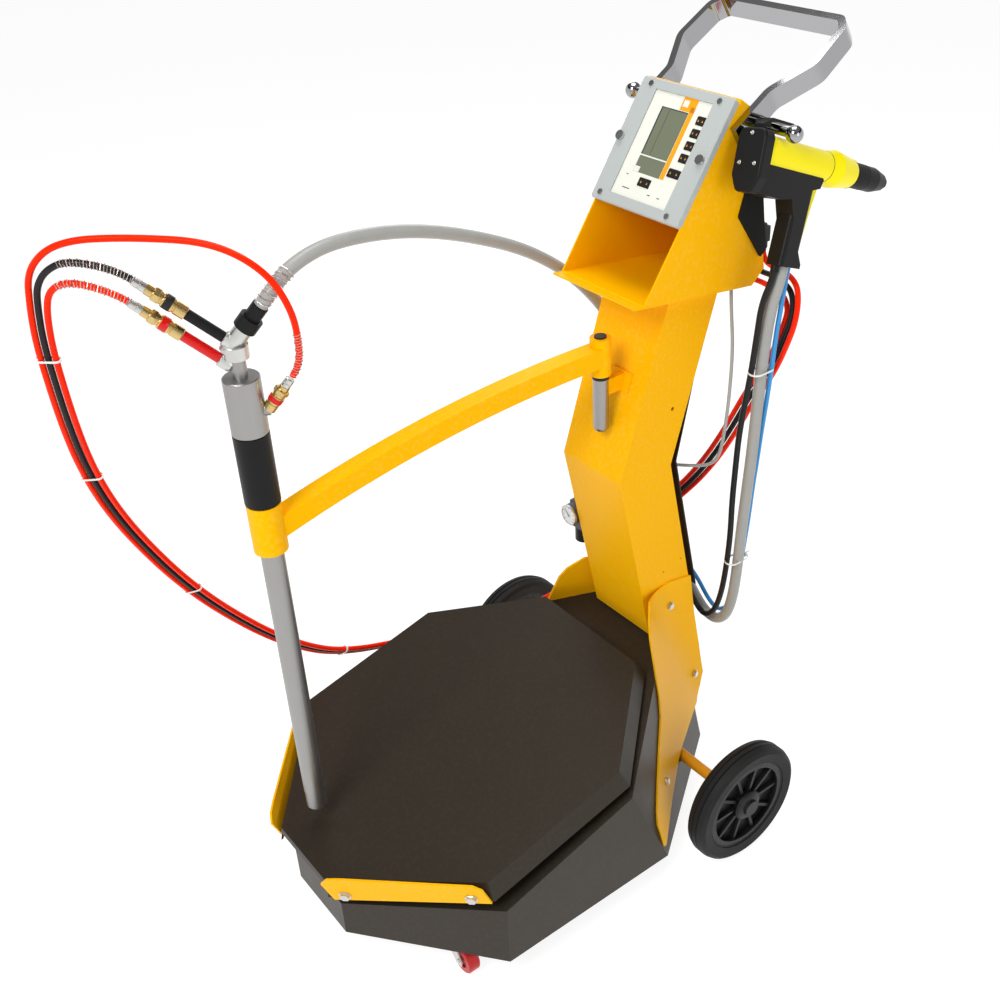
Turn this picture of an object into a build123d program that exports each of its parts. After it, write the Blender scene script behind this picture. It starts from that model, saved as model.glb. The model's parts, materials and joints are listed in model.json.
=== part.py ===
from build123d import *
import math
import os

os.makedirs("parts", exist_ok=True)

# Mobile powder coating unit. Millimetres, +Z up, front towards -Y, floor at Z = 0,
# X = 0 is the plane of symmetry of the chassis.

# ---- driving dimensions -------------------------------------------------------
SHEET = 2.5                 # folded sheet thickness
AXLE_Y, AXLE_Z, AXLE_R = 152.5, 100.0, 9.0
WHEEL_R, WHEEL_W, WHEEL_X = 100.0, 36.0, 279.7
RIM_R = 76.0
CASTER_X, CASTER_Y, CASTER_TRAIL, CASTER_R = 167.0, -310.0, 26.0, 23.0
BASE_Z = 49.0               # underside of the housing
BASE_TOP_Z0, BASE_TOP_SLOPE = 234.0, 0.285
BASE_FRONT = [(66.4, -431.4), (257.6, -277.7), (257.6, 9.6)]
FACET_N = Vector(0.793, 0.559, 0.242)
FACET_D = 229.3
TABLE_TILT = 13.44          # degrees, rises to the rear
TABLE_Z0 = 276.6
TABLE_OCT = [(60.7, -448.1), (238.9, -292.6), (238.9, -58.5), (108.6, 89.3)]
SKIRT_OUT, SKIRT_DEEP, SKIRT_FRONT = 10.6, 29.0, 9.0
COL_HALF = 62.7             # half width of the column
COL_FRONT = [(188.0, 851.0), (98.8, 590.0), (160.0, 286.6)]
COL_REAR = [(274.0, 200.0), (197.3, 584.0), (281.0, 839.0)]
HOOD_HALF = 84.6
HOOD = [(119.5, 861.5), (283.0, 1099.2), (314.6, 1075.5), (345.0, 854.0), (323.0, 834.5)]
PANEL_P = (173.9, 958.6)    # lower front edge of the control panel (Y, Z)
PANEL_SLOPE = 55.48
PANEL_W, PANEL_H, PANEL_T = 169.0, 174.6, 10.0
HANDLE_FOOT = (300.7, 1071.4)
HANDLE_SLOPE = 31.64
PIVOT = (14.0, 106.0)
LANCE = (-31.0, -399.0)
TUBE_R = 15.0               # lance tube
GUN_P = (124.0, 262.0, 1041.5)
GUN_PITCH = -22.5
HOSE_R, AIR_R, BLUE_R, CABLE_R = 8.5, 4.0, 3.5, 4.5


def save(solid, name):
    export_step(solid, f"parts/{name}.step")
    box = solid.bounding_box()
    print(f"{name:22s} vol {solid.volume / 1000:9.2f} cm3  z {box.min.Z:7.1f} {box.max.Z:7.1f}"
          f"  y {box.min.Y:7.1f} {box.max.Y:7.1f}  x {box.min.X:7.1f} {box.max.X:7.1f}")
    return solid


def group(solids):
    return Compound(children=list(solids))


def prism_x(pts, half, half2=None):
    """Solid from a (Y, Z) outline, from x = -half to x = half (or half to half2)."""
    lo, hi = (-half, half) if half2 is None else (half, half2)
    face = Plane.YZ.offset(lo) * make_face(Polyline([(y, z) for y, z in pts], close=True))
    return extrude(face, amount=hi - lo)


def prism_z(pts, z0, z1):
    return extrude(Plane.XY.offset(z0) * make_face(Polyline(pts, close=True)), amount=z1 - z0)


def rod(p, q, r):
    """Round bar between two points."""
    p, q = Vector(*p), Vector(*q)
    return extrude(Plane(p, z_dir=q - p) * Circle(r), amount=(q - p).length)


def hexagon(p, axis, across, length):
    return extrude(Plane(Vector(*p), z_dir=Vector(*axis)) * RegularPolygon(across / 2, 6, False),
                   amount=length)


def mirror_x(solid):
    return mirror(solid, about=Plane.YZ)


def hose(pts, r, name=""):
    """Round tube along straight runs joined by tangent arcs."""
    v = [Vector(*p) for p in pts]
    radii = []
    for a, b, c in zip(v, v[1:], v[2:]):
        run = min((b - a).length, (c - b).length)
        turn = math.radians((b - a).get_angle(c - b))
        radii.append(0.45 * run / math.tan(max(turn, 0.02) / 2))
    path = FilletPolyline(*v, radius=radii)
    tube = sweep(Plane(v[0], z_dir=v[1] - v[0]) * Circle(r), path=path)
    print(f"  {name}: length {path.length:.0f} mm, least radius {min(radii):.0f} mm, "
          f"volume ratio {tube.volume / (math.pi * r * r * path.length):.3f}")
    return tube


# ---- housing of the base --------------------------------------------------------
def half_space(normal, dist, size=900):
    """Everything on the far side of the plane normal . p = dist, as a block."""
    n = normal.normalized()
    p = n * (dist / normal.length)
    return extrude(Plane(p, z_dir=n) * Rectangle(2 * size, 2 * size), amount=size)


def housing(inset, z0):
    (x1, y1), (x2, y2), (_, y3) = BASE_FRONT
    x1, y1, x2, y2 = x1 - inset * 0.41, y1 + inset, x2 - inset, y2 + inset * 0.4
    rear = 246.0 - inset
    plan = [(-x1, y1), (x1, y1), (x2, y2), (x2, rear), (-x2, rear), (-x2, y2)]
    body = prism_z(plan, z0, 420)
    top = Vector(0, -BASE_TOP_SLOPE, 1)
    body -= half_space(top, BASE_TOP_Z0 - inset * top.length)
    for s in (1, -1):
        n = Vector(s * FACET_N.X, FACET_N.Y, FACET_N.Z)
        body -= half_space(n, FACET_D - inset)
    return body


base = housing(0.2, BASE_Z) - housing(SHEET, BASE_Z - 10)
motor_hole = prism_z([(-80, -260), (80, -260), (80, -100), (-80, -100)], 120, 260)
base -= motor_hole
base -= rod((-300, AXLE_Y, AXLE_Z), (300, AXLE_Y, AXLE_Z), AXLE_R + 0.05)
save(base, "base_housing")

inner = housing(SHEET + 0.1, BASE_Z)
cross = Pos(0, CASTER_Y, 68) * Box(600, 52, 5) & inner
axle_bar = Pos(0, AXLE_Y, AXLE_Z + AXLE_R + 2.6) * Box(600, 40, 5) & inner
save(group([cross, axle_bar]), "chassis_crossbars")

# ---- table ----------------------------------------------------------------------
tilt = math.radians(TABLE_TILT)
table_plane = Plane(Vector(0, 0, TABLE_Z0), x_dir=(1, 0, 0), z_dir=(0, -math.sin(tilt), math.cos(tilt)))


def table_z(y):
    return TABLE_Z0 + y * math.tan(tilt)


def octagon(grow, drop):
    c = math.cos(tilt)
    right = [(TABLE_OCT[0][0] + 0.41 * grow, TABLE_OCT[0][1] / c - grow),
             (TABLE_OCT[1][0] + grow, TABLE_OCT[1][1] / c - 0.41 * grow),
             (TABLE_OCT[2][0] + grow, TABLE_OCT[2][1] / c + 0.41 * grow),
             (TABLE_OCT[3][0] + 0.41 * grow, TABLE_OCT[3][1] / c + grow)]
    pts = right + [(-x, y) for x, y in reversed(right)]
    return table_plane.offset(-drop) * make_face(Polyline(pts, close=True))


outer = loft([octagon(SKIRT_OUT, SKIRT_DEEP), octagon(0, 0)])
hollow = loft([octagon(SKIRT_OUT - 2.2, SKIRT_DEEP + 2), octagon(-2.6, 2.5)])
table = outer - hollow
front_cut = table_plane * Pos(0, TABLE_OCT[0][1] / math.cos(tilt) - 6, -SKIRT_FRONT - 30) * Box(135, 40, 60)
table -= front_cut
save(table, "table_plate")

# rubber buffers between housing and table
buffers = []
for bx, by in ((150, -300), (-150, -300), (110, 30), (-110, 30)):
    low = BASE_TOP_Z0 + BASE_TOP_SLOPE * by
    post = rod((bx, by, low - 20), (bx, by, table_z(by) + 20), 14)
    post -= half_space(Vector(0, -math.sin(tilt), math.cos(tilt)), TABLE_Z0 * math.cos(tilt) - 2.6)
    post -= half_space(Vector(0, BASE_TOP_SLOPE, -1), -BASE_TOP_Z0)
    buffers.append(post)
save(group(buffers), "rubber_buffers")

# vibration motor hanging under the table
motor = Pos(0, 0, -4) * Box(100, 90, 8) + Pos(0, 0, -20) * Box(60, 46, 30)
motor += Pos(0, 0, -42) * Rot(0, 90, 0) * Cylinder(28, 118)
save(table_plane * Pos(0, -185, -2.6) * motor, "vibration_motor")


# front bumpers on the two diagonal front edges
def bumper():
    c = math.cos(tilt)
    a = Vector(TABLE_OCT[0][0] + 0.41 * SKIRT_OUT, TABLE_OCT[0][1] / c - SKIRT_OUT, -SKIRT_DEEP)
    b = Vector(TABLE_OCT[1][0] + SKIRT_OUT, TABLE_OCT[1][1] / c - 0.41 * SKIRT_OUT, -SKIRT_DEEP)
    along = (b - a).normalized()
    out = Vector(along.Y, -along.X, 0)
    frame = Plane(a + out * 0.2, x_dir=along, z_dir=out)
    length = (b - a).length
    face = make_face(Polyline([(14, -1), (length - 4, -1), (length - 10, 30), (length - 22, 40),
                               (38, 50), (18, 49), (6, 38)], close=True))
    plate = extrude(face, amount=3)
    bolts = [Pos(px, 11, 3) * (extrude(RegularPolygon(6.5, 6, False), amount=5)
                               + Cylinder(9, 1.2, align=(Align.CENTER, Align.CENTER, Align.MIN)))
             for px in (34, length - 30)]
    return table_plane * frame.location * plate, [table_plane * frame.location * k for k in bolts]


plate, bolts = bumper()
save(group([plate, mirror_x(plate)]), "bumpers")
fasteners = bolts + [mirror_x(k) for k in bolts]

# ---- column -----------------------------------------------------------------------
col_outline = COL_FRONT + [(196.6, 296.4), (239.4, 200.0)] + COL_REAR
t = SHEET / 0.95
column = prism_x(col_outline, COL_HALF) - prism_x(
    [(188.0 + t + 9.9, 880), (98.8 + t, 590), (160 + t + 19.9, 184), (400, 184), (400, 880)],
    COL_HALF - SHEET)
for hy, hz, hr in ((198.4, 676.2, 3.0), (224.0, 403.5, 1.6), (188.0, 394.5, 1.6)):
    column -= rod((50, hy, hz), (70, hy, hz), hr)
save(column, "column")

cover = prism_x([(262.2, 335.0), (197.3 + 14, 584), (272.0, 834.0), (270.0, 834.0),
                 (197.3 + 12, 584), (260.2, 335.0)], COL_HALF - SHEET - 0.15)
cover -= Pos(0, 232, 335) * Box(84, 140, 60)
seat = prism_x([(190, 832), (195, 846), (265, 838), (260, 824)], COL_HALF - SHEET - 0.15)
save(group([cover, seat]), "column_rear_cover")

# ---- side plates: flat on the column, folded outwards over the housing -----------------
FOLD = math.radians(37.5)
FOLD_R = 90.0
W0 = 320.6 - 28 * 0.918
fold_axis = Vector(0, -0.397, 0.918)
fold_plane = Plane(Vector(0, 0, 0), x_dir=(1, 0, 0), z_dir=fold_axis)
W_SIGN = -1 if fold_plane.y_dir.Y < 0 else 1


def fold_profile(x_skin, thick):
    tan_len = FOLD_R * math.tan(FOLD / 2)
    outer_r = FOLD_R - thick
    w_top = W0 + tan_len
    cx = x_skin + FOLD_R
    p_end = (cx - FOLD_R * math.cos(FOLD), w_top - FOLD_R * math.sin(FOLD))
    q_end = (cx - outer_r * math.cos(FOLD), w_top - outer_r * math.sin(FOLD))
    far = 330.0
    d = (math.sin(FOLD), -math.cos(FOLD))
    p_far = (p_end[0] + d[0] * far, p_end[1] + d[1] * far)
    q_far = (q_end[0] + d[0] * far, q_end[1] + d[1] * far)
    mid_in = (cx - FOLD_R * math.cos(FOLD / 2), w_top - FOLD_R * math.sin(FOLD / 2))
    mid_out = (cx - outer_r * math.cos(FOLD / 2), w_top - outer_r * math.sin(FOLD / 2))
    s = W_SIGN
    f = lambda p: (p[0], s * p[1])
    wire = [Line(f((x_skin, w_top + 200)), f((x_skin, w_top))),
            ThreePointArc(f((x_skin, w_top)), f(mid_in), f(p_end)),
            Line(f(p_end), f(p_far)), Line(f(p_far), f(q_far)), Line(f(q_far), f(q_end)),
            ThreePointArc(f(q_end), f(mid_out), f((x_skin + thick, w_top))),
            Line(f((x_skin + thick, w_top)), f((x_skin + thick, w_top + 200))),
            Line(f((x_skin + thick, w_top + 200)), f((x_skin, w_top + 200)))]
    return make_face(wire)


sheet = extrude(fold_plane.offset(-260) * fold_profile(COL_HALF + 0.1, 3.0), amount=760)
plate_outline = [(146, 366), (127, 345), (119, 325), (113.5, 285.7), (108, 240), (98, 214), (67.5, 187),
                 (39.8, 160.7), (14.6, 134), (7.5, 118), (14.2, 77), (22, 72), (82, 98), (130, 112),
                 (160.8, 113.5), (253, 106), (272, 124), (281, 145.9), (268, 216.9), (255.2, 283.4),
                 (244, 362.7), (200, 371)]
side_plate = prism_x(plate_outline, 55, 300) & sheet
save(group([side_plate, mirror_x(side_plate)]), "side_plates")


def screw(p, n, r=6.0):
    n = Vector(*n).normalized()
    head = extrude(Plane(Vector(*p), z_dir=n) * Circle(r), amount=3.2)
    head += extrude(Plane(Vector(*p) + n * 3.2, z_dir=n) * RegularPolygon(r * 0.72, 6, False), amount=1.6)
    return head


def skin(y, z):
    """Point and outward normal on the outer face of the right side plate."""
    w = 0.918 * y + 0.397 * z
    w_top = W0 + FOLD_R * math.tan(FOLD / 2)
    r = FOLD_R - 3.0
    cx = COL_HALF + 0.1 + FOLD_R
    ang = min(FOLD, math.asin(max(0.0, min(1.0, (w_top - w) / r))))
    x = cx - r * math.cos(ang) + max(0.0, w_top - r * math.sin(FOLD) - w) * math.tan(FOLD)
    wn = math.sin(ang)
    return (x + 0.35, y, z), (math.cos(ang), 0.918 * wn, 0.397 * wn)


screws = [screw(*skin(y, z)) for y, z in ((199.2, 326.4), (256, 158), (67.5, 136.2))]
fasteners += screws + [mirror_x(k) for k in screws]

# ---- axle and wheels ------------------------------------------------------------------
axle = rod((-299, AXLE_Y, AXLE_Z), (299, AXLE_Y, AXLE_Z), AXLE_R)
for s in (1, -1):
    axle += rod((s * 251, AXLE_Y, AXLE_Z), (s * 259, AXLE_Y, AXLE_Z), 14)
save(axle, "axle")
wheel_plane = Plane(Vector(WHEEL_X, AXLE_Y, AXLE_Z), x_dir=(0, 1, 0), z_dir=(1, 0, 0))


def turned(profile):
    """Body of revolution about the wheel axis from (radius, offset along X) points."""
    face = Plane.XZ * make_face(Polyline(profile, close=True))
    return wheel_plane * revolve(face, Axis.Z)


hw = WHEEL_W / 2
tyre = turned([(RIM_R, -hw + 2), (92, -hw), (97.5, -hw + 4), (WHEEL_R, -hw + 11), (WHEEL_R, -6),
               (97.8, -4.5), (WHEEL_R, -3), (WHEEL_R, 3), (97.8, 4.5), (WHEEL_R, 6),
               (WHEEL_R, hw - 11), (97.5, hw - 4), (92, hw), (RIM_R, hw - 2)])
save(tyre, "tyre_right")
save(mirror_x(tyre), "tyre_left")
rim = turned([(66, -14), (RIM_R - 0.1, -14), (RIM_R - 0.1, 14), (66, 14), (66, 11), (70, 9), (70, -9), (66, -11)])
hub = turned([(AXLE_R + 0.3, -19), (20, -19), (20, 15), (AXLE_R + 0.3, 15)])
spokes = []
for k in range(10):
    spoke = Pos(45, 0, 0) * Box(54, 5, 20)
    spokes.append(wheel_plane * Rot(0, 0, 36 * k) * spoke)
web = turned([(19.5, -2), (70.5, -2), (70.5, 2), (19.5, 2)])
rim = rim + hub + web
for k in spokes:
    rim += k
save(rim, "rim_right")
save(mirror_x(rim), "rim_left")
cap = wheel_plane * Pos(0, 0, 19.6) * Cylinder(13, 5, align=(Align.CENTER, Align.CENTER, Align.MIN))
save(group([cap, mirror_x(cap)]), "axle_caps")

# ---- casters ----------------------------------------------------------------------------
cx, cy, ct = CASTER_X, CASTER_Y, CASTER_TRAIL
head = Pos(cx, cy, 61.7) * Cylinder(17, 7)
stem = Pos(cx, cy, 77) * Cylinder(5, 12)
head = head + stem
save(group([head, mirror_x(head)]), "caster_heads")
fork = Pos(cx, cy, 55.6) * Cylinder(17, 4)
for s in (1, -1):
    face = Plane.XZ.offset(0) * make_face(Polyline([(cx - 13, 54), (cx + 14, 54), (cx + ct + 8, 24),
                                                    (cx + ct + 6, 15), (cx + ct - 6, 15)], close=True))
    leg = extrude(face, amount=2.5)
    fork += Pos(0, cy + s * 12.2 + 1.25, 0) * leg
fork += rod((cx + ct, cy - 14.5, CASTER_R), (cx + ct, cy + 14.5, CASTER_R), 3.5)
save(fork, "caster_fork_right")
save(mirror_x(fork), "caster_fork_left")
roller = rod((cx + ct, cy - 9.5, CASTER_R), (cx + ct, cy + 9.5, CASTER_R), CASTER_R)
roller -= rod((cx + ct, cy - 9.5, CASTER_R), (cx + ct, cy - 6.5, CASTER_R), 13)
roller -= rod((cx + ct, cy + 6.5, CASTER_R), (cx + ct, cy + 9.5, CASTER_R), 13)
roller -= rod((cx + ct, cy - 12, CASTER_R), (cx + ct, cy + 12, CASTER_R), 3.8)
roller = chamfer(roller.edges().filter_by(GeomType.CIRCLE).sort_by(SortBy.RADIUS)[-2:], 2.0)
save(roller, "caster_wheel_right")
save(mirror_x(roller), "caster_wheel_left")

# ---- hood and control panel -----------------------------------------------------------
def shrink(pts, d):
    """Move a convex (Y, Z) outline inwards by d."""
    cyy = sum(p[0] for p in pts) / len(pts)
    czz = sum(p[1] for p in pts) / len(pts)
    lines = []
    for (y0, z0), (y1, z1) in zip(pts, pts[1:] + pts[:1]):
        ny, nz = z1 - z0, y0 - y1
        m = math.hypot(ny, nz)
        ny, nz = ny / m, nz / m
        if (cyy - y0) * ny + (czz - z0) * nz < 0:
            ny, nz = -ny, -nz
        lines.append((ny, nz, ny * (y0 + ny * d) + nz * (z0 + nz * d)))
    out = []
    for (a, b, c), (e, f, g) in zip(lines[-1:] + lines[:-1], lines):
        det = a * f - b * e
        out.append(((c * f - b * g) / det, (a * g - c * e) / det))
    return out


sl = math.radians(PANEL_SLOPE)
up_slope = (math.cos(sl), math.sin(sl))
inward = (math.sin(sl), -math.cos(sl))
hood_in = shrink(HOOD, SHEET)


def along_front(step, depth):
    return (HOOD[0][0] + up_slope[0] * step + inward[0] * depth, HOOD[0][1] + up_slope[1] * step + inward[1] * depth)


front_cut = prism_x([along_front(6, 4), along_front(285, 4), along_front(285, -12), along_front(-8, -12),
                     (HOOD[0][0] - 8, HOOD[0][1] + 3.3)], HOOD_HALF - SHEET)
hood = prism_x(HOOD, HOOD_HALF) - prism_x(hood_in, HOOD_HALF - SHEET) - front_cut
hood += prism_x([(105.0, 863.4), (122.0, 861.2), (122.0, 863.7), (105.0, 865.9)], HOOD_HALF - 0.4)
save(hood, "hood")

pa = Plane(Vector(0, *PANEL_P), x_dir=(1, 0, 0), z_dir=(0, -inward[0], -inward[1]))

plate = Pos(0, PANEL_H / 2, -PANEL_T / 2) * Box(PANEL_W, PANEL_H, PANEL_T)
plate = fillet(plate.edges().filter_by(Axis.Z), 5)
plate = chamfer(plate.faces().sort_by(Axis.Z)[-1].edges(), 1.5)
plate -= Pos(0, 88, -1.5) * Box(106, 146, 5)
plate -= Pos(0, 88, -8) * Box(104.4, 134, 12)
save(pa * plate, "panel_frame")
mem = Pos(0, 88, -2.6) * Box(105.6, 145.6, 1.6)
mem -= Pos(-6, 108.5, -2.6) * Box(49.6, 66.6, 4)
mem -= Pos(-6, 62, -2.6) * Box(49.6, 22.6, 4)
KEYS = [(44.5, 136), (44.5, 119), (44.5, 102), (44.5, 85)]
WIDE_KEYS = [(40, 63), (-2, 40)]
for kx, ks in KEYS:
    mem -= Pos(kx, ks, -2.6) * Box(15.0, 12.0, 4)
for kx, ks in WIDE_KEYS:
    mem -= Pos(kx, ks, -2.6) * Box(22.0, 12.0, 4)
save(pa * mem, "membrane")
lcd = Pos(-6, 108.5, -3.0) * Box(49.4, 66.4, 1.6)
save(group([pa * lcd, pa * (Pos(-6, 62, -3.0) * Box(49.4, 22.4, 1.6))]), "lcd_windows")
for i, (kx, ks) in enumerate(KEYS + WIDE_KEYS):
    w = 14.4 if i < 4 else 21.4
    key = fillet((Pos(kx, ks, -2.5) * Box(w, 11.4, 3.0)).edges().filter_by(Axis.Z), 1.5)
    save(pa * key, f"key_{i + 1}")
box_depth = 26.0
unit = Pos(0, 88, -PANEL_T - 0.2 - box_depth / 2) * Box(2 * (HOOD_HALF - SHEET) - 1, 150, box_depth)
save(pa * unit, "control_unit")
for px, ps in ((-65, 166), (62, 166), (-69, 10), (62, 9)):
    fasteners.append(pa * Pos(px, ps, 0) * Cylinder(4, 1.6, align=(Align.CENTER, Align.CENTER, Align.MIN)))
for px in (-77, 75):
    knob = Pos(px, 89, 0) * Cylinder(6.5, 5, align=(Align.CENTER, Align.CENTER, Align.MIN))
    fasteners.append(pa * knob)
save(group(fasteners), "fasteners")

# ---- handle ------------------------------------------------------------------------------
ha = math.radians(HANDLE_SLOPE)
loop_plane = Plane(Vector(0, *HANDLE_FOOT), x_dir=(1, 0, 0), z_dir=(0, -math.sin(ha), math.cos(ha)))
BAR, WIDE = 10.0, 30.0
half_loop = [(90.3, -34), (90.3, 38), (121, 94), (117, 156), (104, 171.6)]
path_pts = half_loop + [(-x, v) for x, v in reversed(half_loop)]
loop_wire = FilletPolyline(*[Vector(x, v, 0) for x, v in path_pts],
                           radius=[25, 25, 14, 12, 12, 14, 25, 25])
bar = sweep(Plane(Vector(*path_pts[0], 0), x_dir=(1, 0, 0), z_dir=(0, 1, 0)) * Rectangle(BAR, WIDE),
            path=loop_wire)
bar = loop_plane * bar
save(bar, "handle")
knob_c = (312.0, 1062.0)
knob = rod((95.5, *knob_c), (143, *knob_c), 6) + rod((95.5, *knob_c), (101, *knob_c), 10)
knob += Pos(150, *knob_c) * Sphere(11.5)
save(group([knob, mirror_x(knob)]), "handle_knobs")

# ---- pivot and swing arm -------------------------------------------------------------------
px, py = PIVOT
bracket = rod((px, py, 656), (px, py, 739.5), 11)
bracket += rod((px, py, 739.5), (px, py, 790), 7)
lug = prism_x([(py, 712), (py, 736), (148.2, 736), (140.0, 712)], px - 6, px + 6)
lug += prism_x([(140.0, 711), (149.1, 737.6), (146.1, 738.6), (137.0, 712)], px - 20, px + 20)
bracket += lug
bracket = fillet(bracket.edges().filter_by(GeomType.CIRCLE).sort_by(Axis.Z)[0], 8)
save(bracket, "pivot_bracket")
ring = Pos(px, py, 743) * (Cylinder(12, 6) - Cylinder(7.3, 6))

lx, ly = LANCE
boss = Pos(px, py, 774) * Cylinder(15, 55.4)
boss -= Pos(px, py, 767) * Cylinder(7.3, 47)
ring_l = Pos(lx, ly, 695.6) * Cylinder(22, 69)
d = Vector(lx - px, ly - py, 0)
reach = d.length
d = d.normalized()
arm_plane = Plane(Vector(px, py, 0), x_dir=d, z_dir=d.cross(Vector(0, 0, 1)))
arc = ThreePointArc((4, 776), (250, 752), (reach - 6, 690))
SQ = 28.0
start = arc @ 0
arm = sweep(Plane(Vector(start.X, start.Y, 0), x_dir=(0, 0, 1), z_dir=arc % 0) * Rectangle(SQ, SQ), path=arc)
arm = arm_plane * arm
arm = arm + boss + ring_l
arm -= Pos(px, py, 763) * Cylinder(7.3, 55)
arm -= Pos(lx, ly, 695.6) * Cylinder(TUBE_R + 0.3, 120)
save(arm, "arm")
cap_top = Pos(px, py, 803) * Cylinder(8.5, 2.4)
save(group([ring, cap_top]), "pivot_fittings")

# ---- lance -------------------------------------------------------------------------------------
tube = Pos(lx, ly, 0) * (Pos(0, 0, (242 + 826) / 2) * Cylinder(TUBE_R, 826 - 242))
tube -= Pos(lx, ly, 500) * Cylinder(TUBE_R - 2, 700)
foot = Pos(lx, ly, 228) * Cylinder(14.5, 27.8) + Pos(lx, ly, 211) * Cylinder(7, 10)
save(group([tube, foot]), "lance_tube")
sleeve = Pos(lx, ly, 780) * (Cylinder(22.5, 96) - Cylinder(TUBE_R + 0.1, 96))
save(sleeve, "lance_sleeve")
head_l = Pos(lx, ly, 865) * Cylinder(22.5, 73.6)
head_l = chamfer(head_l.edges().filter_by(GeomType.CIRCLE), 1.2)
head_l += rod((lx, ly, 900), (lx, ly, 926), 9)
side = Vector(0.576, 0.817, 0)
port = Vector(lx, ly, 858) + side * 20
head_l += rod(tuple(port), tuple(port + side * 8), 8)
save(head_l, "lance_head")

# ejector on top of the lance: body, outlet nozzle and two inlet branches
out = Vector(0.35, 0.52, 0.78).normalized()
body_c = Vector(lx, ly, 0) + Vector(0, 0, 936)
ej = rod(tuple(body_c - Vector(0, 0, 9.5)), tuple(body_c + Vector(0, 0, 6)), 15)
core_a = body_c + Vector(-0.576, -0.817, 0) * 10 + Vector(0, 0, -2)
core_b = body_c + side * 14 + Vector(0, 0, 26)
ej += rod(tuple(core_a), tuple(core_b), 11)
nut_a = core_b
line = (core_b - core_a).normalized()
nut = rod(tuple(nut_a), tuple(nut_a + line * 16), 14) + rod(tuple(nut_a + line * 16), tuple(nut_a + line * 34), 10)
save(group([ej, nut - ej]), "ejector")
hose_start = nut_a + line * 34.3
inlet_dir = Vector(-0.445, -0.622, 0.645).normalized()
inlets, couplings, ends = [], [], {}
for name, root in (("red", (-38, -409, 920)), ("black", (-32, -402, 946))):
    base_p = Vector(*root)
    p1 = base_p + inlet_dir * 58
    p2 = p1 + inlet_dir * 38
    p3 = p2 + inlet_dir * 30
    inlets.append(rod(tuple(base_p), tuple(p1), 6.5) - ej - head_l - nut)
    cp = rod(tuple(p1 + inlet_dir * 0.1), tuple(p2), 8.5) + rod(tuple(p2), tuple(p3), 6.0)
    couplings.append(cp)
    ends[name] = p3
save(group(inlets), "ejector_inlets")
side_dir = Vector(0.36, 0.53, 0.77).normalized()
elbow_p = port + side * 6
cp = rod(tuple(elbow_p), tuple(elbow_p + side_dir * 40), 7.5)
cp += rod(tuple(elbow_p + side_dir * 40), tuple(elbow_p + side_dir * 52), 5.5)
couplings.append(cp - head_l)
ends["side"] = elbow_p + side_dir * 52

# ---- pneumatics behind the column --------------------------------------------------------
regulator = Pos(-81, 150, 452) * Box(26, 34, 46)
regulator += Pos(-81, 150, 480) * Cylinder(15, 10)
regulator += Pos(-65.4, 150, 452) * Box(5.0, 24, 24)
gauge = rod((-81, 132.9, 458), (-81, 120, 458), 17)
save(group([regulator, gauge]), "filter_regulator")
reg_knob = Pos(-81, 150, 415) * Cylinder(14, 27)
save(reg_knob, "regulator_knob")
block = prism_x([(340.9, 885), (336.3, 919), (347, 919), (349, 885)], 32, 84)
for kx in (42, 58, 74):
    block += Pos(kx, 352.4, 900) * Box(12, 13, 22) + rod((kx, 352.4, 890), (kx, 352.4, 880), 6)
save(block, "rear_connectors")

# ---- gun and holster --------------------------------------------------------------------------
gp = math.radians(GUN_PITCH)
g_dir = Vector(0, math.cos(gp), math.sin(gp))
grip_dir = Vector(16, -30, -91).normalized()
g_up = (grip_dir - g_dir * grip_dir.dot(g_dir)) * -1
gun = Plane(Vector(*GUN_P), x_dir=g_dir, z_dir=g_up)


def place(shape):
    return gun.location * shape


AX = 9.0    # height of the barrel axis in the gun's own frame
cap_face = make_face(Polyline([(-18, 34), (18, 34), (23, 24), (23, -26), (13, -46), (-13, -46), (-23, -26),
                               (-23, 24)], close=True))
cap_face = fillet(cap_face.vertices(), 8)
gun_cap = extrude(Plane.YZ.offset(-4) * cap_face, amount=18)
gun_cap = fillet(gun_cap.faces().sort_by(Axis.X)[0].edges(), 4)


def barrel(x0, x1, r0, r1):
    if r0 == r1:
        return extrude(Plane.YZ.offset(x0) * Pos(0, AX, 0) * Circle(r0), amount=x1 - x0)
    return loft([Plane.YZ.offset(x0) * Pos(0, AX, 0) * Circle(r0), Plane.YZ.offset(x1) * Pos(0, AX, 0) * Circle(r1)])


body = barrel(14.1, 150, 21.0, 21.0) + barrel(150, 168, 21.0, 25.0) + barrel(168, 206, 25.0, 20.0)
save(place(body), "gun_body")
save(place(barrel(206.1, 262, 17.0, 17.0) + barrel(262, 284, 17.0, 12.0) + barrel(284, 292, 8.0, 8.0)),
     "gun_nozzle")
grip_face = make_face(Polyline([(14.2, 9), (118, 9), (141, -9), (137, -21), (126, -24), (120.5, -112), (127, -122),
                                (127, -128), (86, -128), (90, -60), (82, -42), (60, -46), (14.2, -44)], close=True))
grip = extrude(Plane.XZ.offset(-14) * grip_face, amount=28)
grip = fillet([e for e in grip.edges() if 60 < e.length < 95 and min(v.Z for v in e.vertices()) < -100], 6)
grip -= barrel(10, 220, 21.2, 21.2)
slot_face = make_face(Polyline([(146, -12.2), (121, -12.2), (118, -26), (112.5, -114), (146, -114)],
                               close=True))
grip -= extrude(Plane.XZ.offset(-7.6) * slot_face, amount=15.2)
trigger_pin = extrude(Plane.XZ.offset(-13.8) * (Pos(130.5, -18.5, 0) * Circle(2)), amount=27.6)
grip += trigger_pin
trig_face = make_face(Polyline([(125.4, -14), (135.4, -14), (139, -23), (133.5, -50), (126, -98),
                                (124, -112), (122, -112), (122.8, -98), (125.6, -26)], close=True))
trigger = extrude(Plane.XZ.offset(-7) * trig_face, amount=14)
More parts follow.
